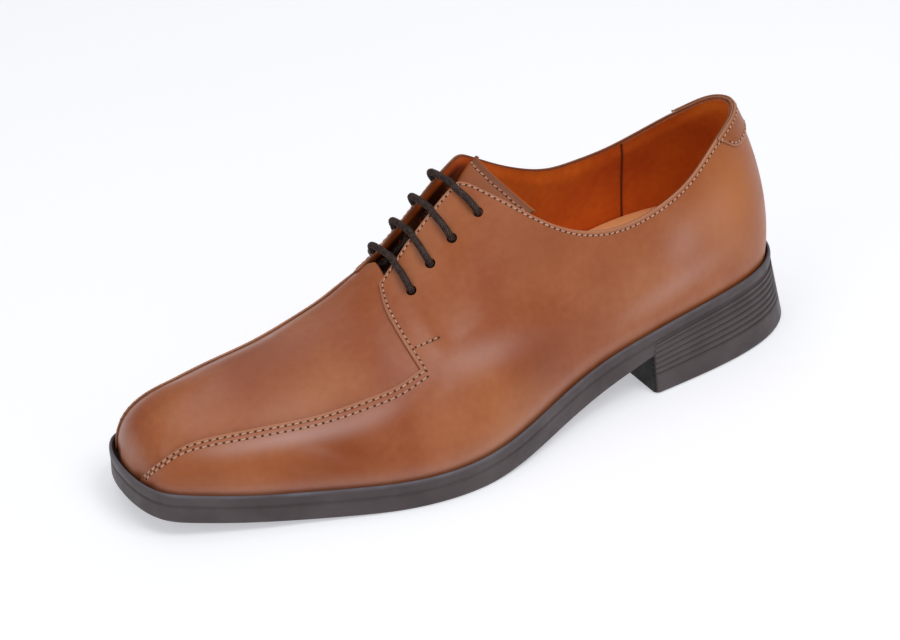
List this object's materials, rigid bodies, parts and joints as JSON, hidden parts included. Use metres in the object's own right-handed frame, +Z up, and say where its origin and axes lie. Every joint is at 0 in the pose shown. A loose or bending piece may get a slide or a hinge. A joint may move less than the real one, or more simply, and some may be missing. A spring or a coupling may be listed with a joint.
{
  "type": "lace-up shoe",
  "caption": "Left lace-up dress shoe with a smooth leather upper, side seams over a toe plug, open lacing, a low collar and a moulded sole with a ribbed heel.",
  "frame": {"origin": "on the floor, under the middle of the shoe's length and width", "axes": "+X from heel to toe, +Y to the wearer's left (the outer side of this left shoe), +Z up"},
  "size_m": [0.3085, 0.1062, 0.1062],
  "materials": {
    "sole": "satin moulded rubber, dark grey-brown",
    "insole": "pale tan leather",
    "upper": "smooth polished mid-brown leather",
    "tongue": "smooth mid-brown leather",
    "heel_tab": "smooth mid-brown leather",
    "lace": "round braided cord, dark brown"
  },
  "bodies": {
    "root": {"sole": "sole", "insole": "insole", "upper": "upper", "tongue": "tongue", "heel_tab": "heel_tab", "lace": "lace"}
  },
  "joints": []
}
